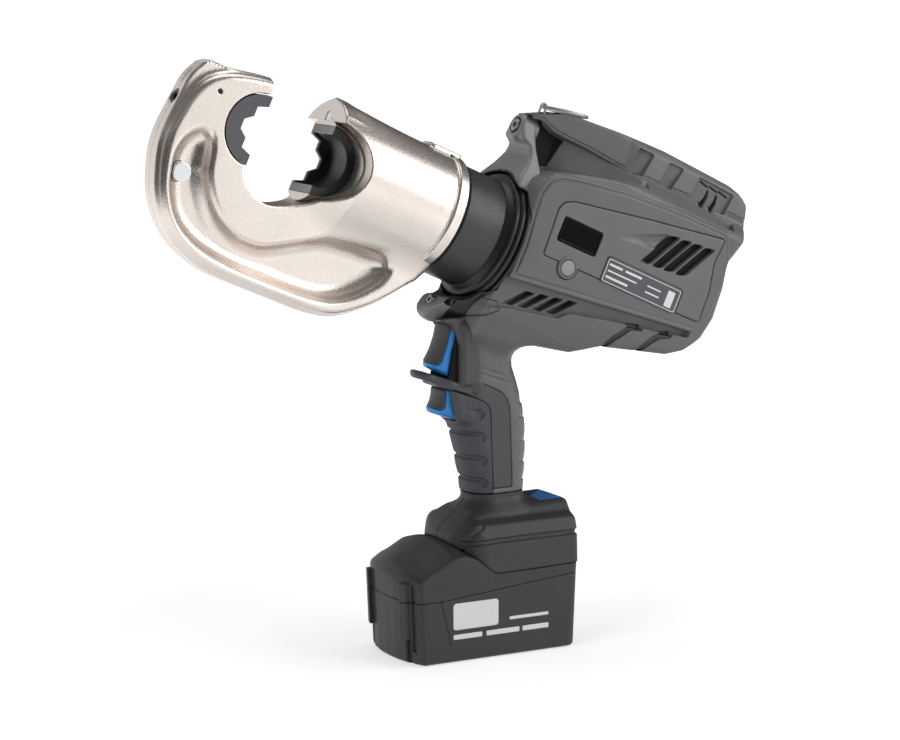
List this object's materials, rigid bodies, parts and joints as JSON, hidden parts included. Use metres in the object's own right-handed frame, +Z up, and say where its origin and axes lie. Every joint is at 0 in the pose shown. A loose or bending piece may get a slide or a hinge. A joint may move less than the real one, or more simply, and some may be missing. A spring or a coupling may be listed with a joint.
{
  "type": "battery crimping tool",
  "caption": "Pistol-grip battery hydraulic crimping tool with a swivelling C-shaped press head, sprung triggers, a slide-off battery pack and a hanging ring.",
  "frame": {"origin": "centre of the battery pack's flat base, on the plane that splits the housing", "axes": "+Z up, +X back from the press head towards the rear of the housing, +Y to the tool's right"},
  "size_m": [0.4255, 0.094, 0.3979],
  "materials": {
    "satin_nickel": "satin nickel plated forged steel",
    "die_steel": "dark blued hardened steel",
    "bright_steel": "bright ground steel",
    "spring_steel": "oiled spring steel",
    "black_steel": "black finished steel tube",
    "pump_steel": "turned steel",
    "housing_grey": "fine textured mid grey plastic",
    "panel_grey": "fine textured darker grey plastic",
    "black_plastic": "black glass filled plastic",
    "black_rubber": "soft black over-moulding",
    "blue_plastic": "blue plastic",
    "display_glass": "dark display window",
    "label_white": "bare pale label",
    "plate_grey": "bare pale grey plate",
    "board_green": "circuit board laminate",
    "cell_wrap": "wrapped round cells",
    "contact_brass": "plated contact metal"
  },
  "bodies": {
    "housing": {"cylinder_tube": "black_steel", "head_retainer": "spring_steel", "head_seal": "black_rubber", "collar_ring": "black_rubber", "front_frame": "black_plastic", "flange_bolts": "die_steel", "housing_left": "housing_grey", "housing_right": "housing_grey", "panel_left": "panel_grey", "panel_right": "panel_grey", "display": "display_glass", "rating_plate": "plate_grey", "grip_sleeve": "black_rubber", "foot_left": "black_plastic", "foot_right": "black_plastic", "foot_contacts": "contact_brass", "housing_screws": "die_steel", "motor_can": "pump_steel", "motor_endcap": "black_plastic", "gearbox_case": "pump_steel", "pump_body": "pump_steel", "pump_plunger": "bright_steel", "oil_bladder": "black_rubber", "relief_valve": "bright_steel", "control_board": "board_green", "trigger_switch": "black_plastic", "ring_lug": "black_steel"},
    "head": {"head_frame": "satin_nickel", "fixed_die": "die_steel", "plunger_screw": "die_steel", "stop_pin": "bright_steel", "ram_key": "bright_steel"},
    "ram": {"ram": "satin_nickel", "moving_die": "die_steel", "ram_seal": "black_rubber", "return_spring": "spring_steel"},
    "plunger": {"die_plunger": "bright_steel"},
    "release": {"release_pin": "bright_steel"},
    "rotor": {"rotor_core": "pump_steel", "motor_shaft": "pump_steel", "fan": "black_plastic"},
    "carrier": {"carrier": "pump_steel", "eccentric_bearing": "bright_steel"},
    "planet_1": {"planet_1": "pump_steel"},
    "planet_2": {"planet_2": "pump_steel"},
    "planet_3": {"planet_3": "pump_steel"},
    "upper_trigger": {"upper_trigger_core": "blue_plastic", "upper_trigger_pad": "black_rubber"},
    "lower_trigger": {"lower_trigger_core": "blue_plastic", "lower_trigger_pad": "black_rubber"},
    "button": {"panel_button": "black_rubber"},
    "latch": {"battery_latch": "blue_plastic"},
    "battery": {"pack_upper": "black_plastic", "pack_lower": "black_plastic", "pack_cells": "cell_wrap", "pack_board": "board_green", "pack_terminals": "black_plastic", "pack_label": "label_white"},
    "ring": {"hang_ring": "bright_steel"}
  },
  "joints": [
    {"name": "head_swivel", "type": "hinge", "parent": "housing", "child": "head", "pos_m": [0.0053, 0, 0.2786], "axis": [0.91, 0, -0.4147], "range_deg": [-90, 90]},
    {"name": "ram_slide", "type": "slide", "parent": "head", "child": "ram", "axis": [-0.91, 0, 0.4147], "range_m": [0, 0.0472], "stiffness_N_per_m": 900, "springref_m": -0.02, "deforming": ["return_spring"]},
    {"name": "release_press", "type": "slide", "parent": "head", "child": "release", "axis": [0, 1, 0], "range_m": [0, 0.003], "stiffness_N_per_m": 900, "springref_m": -0.002},
    {"name": "plunger_draw", "type": "slide", "parent": "head", "child": "plunger", "axis": [-0.91, 0, 0.4147], "range_m": [0, 0.002]},
    {"name": "rotor_spin", "type": "hinge", "parent": "housing", "child": "rotor", "pos_m": [0.0053, 0, 0.2786], "axis": [0.91, 0, -0.4147], "continuous": true},
    {"name": "carrier_spin", "type": "hinge", "parent": "housing", "child": "carrier", "pos_m": [0.0053, 0, 0.2786], "axis": [0.91, 0, -0.4147], "continuous": true},
    {"name": "planet_1_spin", "type": "hinge", "parent": "carrier", "child": "planet_1", "pos_m": [0.07719, 0.0135, 0.24584], "axis": [0.91, 0, -0.4147], "continuous": true},
    {"name": "planet_2_spin", "type": "hinge", "parent": "carrier", "child": "planet_2", "pos_m": [0.08203, -0.00675, 0.25648], "axis": [0.91, 0, -0.4147], "continuous": true},
    {"name": "planet_3_spin", "type": "hinge", "parent": "carrier", "child": "planet_3", "pos_m": [0.07234, -0.00675, 0.2352], "axis": [0.91, 0, -0.4147], "continuous": true},
    {"name": "upper_trigger_press", "type": "slide", "parent": "housing", "child": "upper_trigger", "axis": [1, 0, 0], "range_m": [0, 0.006], "stiffness_N_per_m": 800, "springref_m": -0.003},
    {"name": "lower_trigger_press", "type": "slide", "parent": "housing", "child": "lower_trigger", "axis": [1, 0, 0], "range_m": [0, 0.005], "stiffness_N_per_m": 800, "springref_m": -0.003},
    {"name": "button_press", "type": "slide", "parent": "housing", "child": "button", "axis": [0, 1, 0], "range_m": [0, 0.001], "stiffness_N_per_m": 800, "springref_m": -0.001},
    {"name": "latch_press", "type": "slide", "parent": "housing", "child": "latch", "axis": [0, 0, -1], "range_m": [0, 0.004], "stiffness_N_per_m": 900, "springref_m": -0.003},
    {"name": "battery_slide", "type": "slide", "parent": "housing", "child": "battery", "axis": [-1, 0, 0], "range_m": [0, 0.09]},
    {"name": "ring_swing", "type": "hinge", "parent": "housing", "child": "ring", "pos_m": [0.05567, 0, 0.36356], "axis": [0, -1, 0], "range_deg": [0, 150]}
  ],
  "couplings": [
    {"joint": "plunger_draw", "follows": "release_press", "ratio": 0.66667},
    {"joint": "carrier_spin", "follows": "rotor_spin", "ratio": 0.2},
    {"joint": "planet_1_spin", "follows": "rotor_spin", "ratio": -0.53333},
    {"joint": "planet_2_spin", "follows": "rotor_spin", "ratio": -0.53333},
    {"joint": "planet_3_spin", "follows": "rotor_spin", "ratio": -0.53333}
  ]
}
